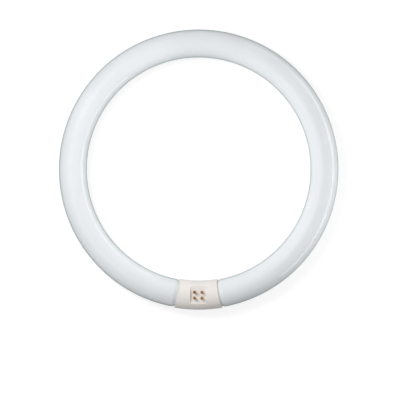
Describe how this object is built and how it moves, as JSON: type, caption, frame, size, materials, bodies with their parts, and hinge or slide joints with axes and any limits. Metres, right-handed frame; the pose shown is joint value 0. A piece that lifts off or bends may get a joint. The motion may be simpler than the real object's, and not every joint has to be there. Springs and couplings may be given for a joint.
{
  "type": "circular fluorescent tube",
  "caption": "Ring-shaped fluorescent lamp: a white coated glass tube bent into a circle and closed by a moulded cap with contact pins in a flat recess.",
  "frame": {"origin": "on the ring's axis, in the plane that the lamp lies on", "axes": "+Z is the ring's axis and the way the contact pins point, -Y runs from the ring's middle to the cap, +X is to the right with the pins towards the viewer and the cap at the bottom"},
  "size_m": [0.3, 0.3007, 0.0348],
  "materials": {
    "coated_glass": "glossy clear glass over a white inside coating",
    "cap_plastic": "satin moulded plastic, warm white",
    "pin_brass": "dull drawn brass",
    "lead_wire": "plated drawn wire"
  },
  "bodies": {
    "root": {"glass_tube": "coated_glass", "cap_front_shell": "cap_plastic", "cap_rear_shell": "cap_plastic", "contact_pin_left_inner": "pin_brass", "contact_pin_left_outer": "pin_brass", "contact_pin_right_inner": "pin_brass", "contact_pin_right_outer": "pin_brass", "lead_wire_left_inner": "lead_wire", "lead_wire_left_outer": "lead_wire", "lead_wire_right_inner": "lead_wire", "lead_wire_right_outer": "lead_wire"}
  },
  "joints": []
}
